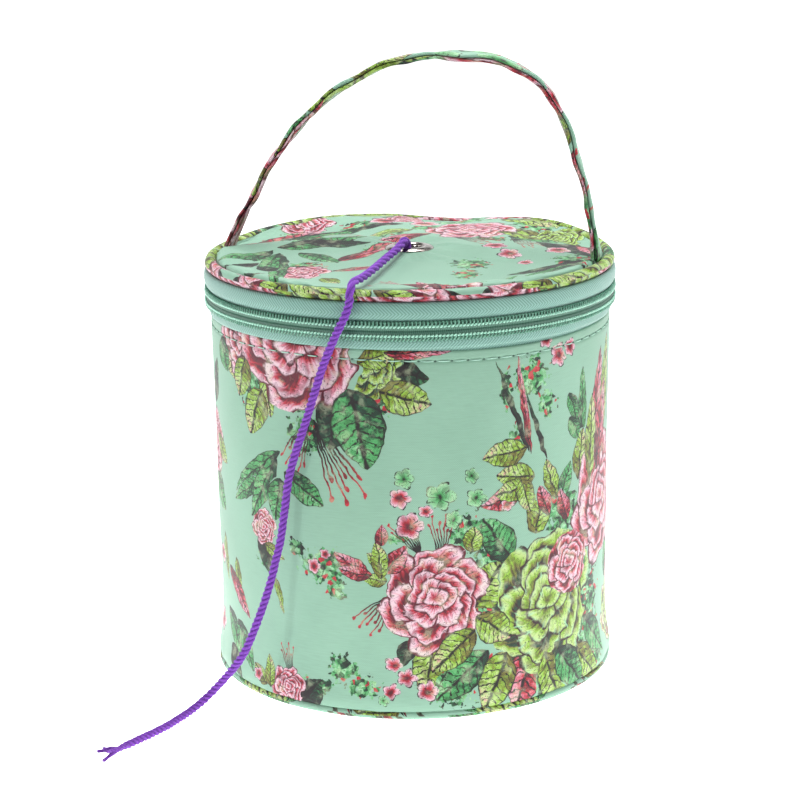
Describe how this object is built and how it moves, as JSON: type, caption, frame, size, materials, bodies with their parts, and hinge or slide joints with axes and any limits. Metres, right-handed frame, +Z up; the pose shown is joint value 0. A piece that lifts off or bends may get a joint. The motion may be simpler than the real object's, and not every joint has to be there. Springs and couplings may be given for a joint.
{
  "type": "knitting bag",
  "caption": "Round padded yarn bag in flowered fabric, with a zipped hinged lid, a strap handle and a metal eyelet that yarn is drawn out through.",
  "frame": {"origin": "centre of the flat base, on the surface that the bag stands on", "axes": "+Z up; the handle spans X; the lid's fabric hinge is at +Y and the yarn hangs down at -Y"},
  "size_m": [0.1668, 0.2294, 0.2497],
  "materials": {
    "printed_fabric": "satin woven polyester, mint green with a printed pattern of pink roses and green leaves",
    "lining": "plain thin woven polyester, pale mint",
    "foam": "soft white sheet foam, hidden between fabric and lining",
    "board": "matt stiffener, hidden in the base",
    "filler_cord": "soft filler, hidden inside the piping and the strap",
    "zipper_tape": "herringbone woven tape, blue green",
    "zipper_coil": "moulded nylon coil with a sewing thread through it, blue green",
    "nickel": "bright nickel plate with light wear",
    "yarn": "plied matt yarn, purple"
  },
  "bodies": {
    "bag_body": {"side_panel": "printed_fabric", "side_padding": "foam", "side_lining": "lining", "side_seam_binding": "lining", "rim_binding": "lining", "base_panel": "printed_fabric", "base_board": "board", "base_padding": "foam", "base_lining": "lining", "base_binding": "lining", "base_piping": "printed_fabric", "base_piping_cord": "filler_cord", "zipper_tape_lower": "zipper_tape", "zipper_coil_lower": "zipper_coil", "hinge_panel": "printed_fabric", "hinge_lining": "lining", "yarn_inner_strand": "yarn", "yarn_strand": "yarn"},
    "lid": {"lid_panel": "printed_fabric", "lid_padding": "foam", "lid_lining": "lining", "lid_piping": "printed_fabric", "lid_piping_cord": "filler_cord", "lid_seam_binding": "lining", "zipper_tape_upper": "zipper_tape", "zipper_coil_upper": "zipper_coil", "eyelet": "nickel", "eyelet_washer": "nickel", "handle_end_left": "printed_fabric", "handle_end_right": "printed_fabric"},
    "handle": {"handle_strap": "printed_fabric", "handle_core": "filler_cord"},
    "slider": {"slider_body": "nickel", "slider_bridge": "nickel"},
    "pull_tab": {"pull_tab": "nickel"},
    "yarn_ball": {"yarn_ball": "yarn"}
  },
  "joints": [
    {"name": "lid_hinge", "type": "hinge", "parent": "bag_body", "child": "lid", "pos_m": [0, 0.0805, 0.156], "axis": [-1, 0, 0], "range_deg": [0, 110], "deforming": ["hinge_panel", "hinge_lining", "yarn_strand", "yarn_inner_strand"]},
    {"name": "handle_swing", "type": "hinge", "parent": "lid", "child": "handle", "pos_m": [0, 0, 0.1755], "axis": [1, 0, 0], "range_deg": [-75, 75]},
    {"name": "slider_travel", "type": "hinge", "parent": "bag_body", "child": "slider", "pos_m": [0, 0, 0.154], "axis": [0, 0, 1], "range_deg": [-292, 0]},
    {"name": "pull_tab_swing", "type": "hinge", "parent": "slider", "child": "pull_tab", "pos_m": [0.04823, 0.0715, 0.154], "axis": [0, 0, 1], "range_deg": [0, 160]},
    {"name": "yarn_ball_spin", "type": "hinge", "parent": "bag_body", "child": "yarn_ball", "pos_m": [0, 0, 0.0538], "axis": [0, 0, 1], "continuous": true}
  ]
}
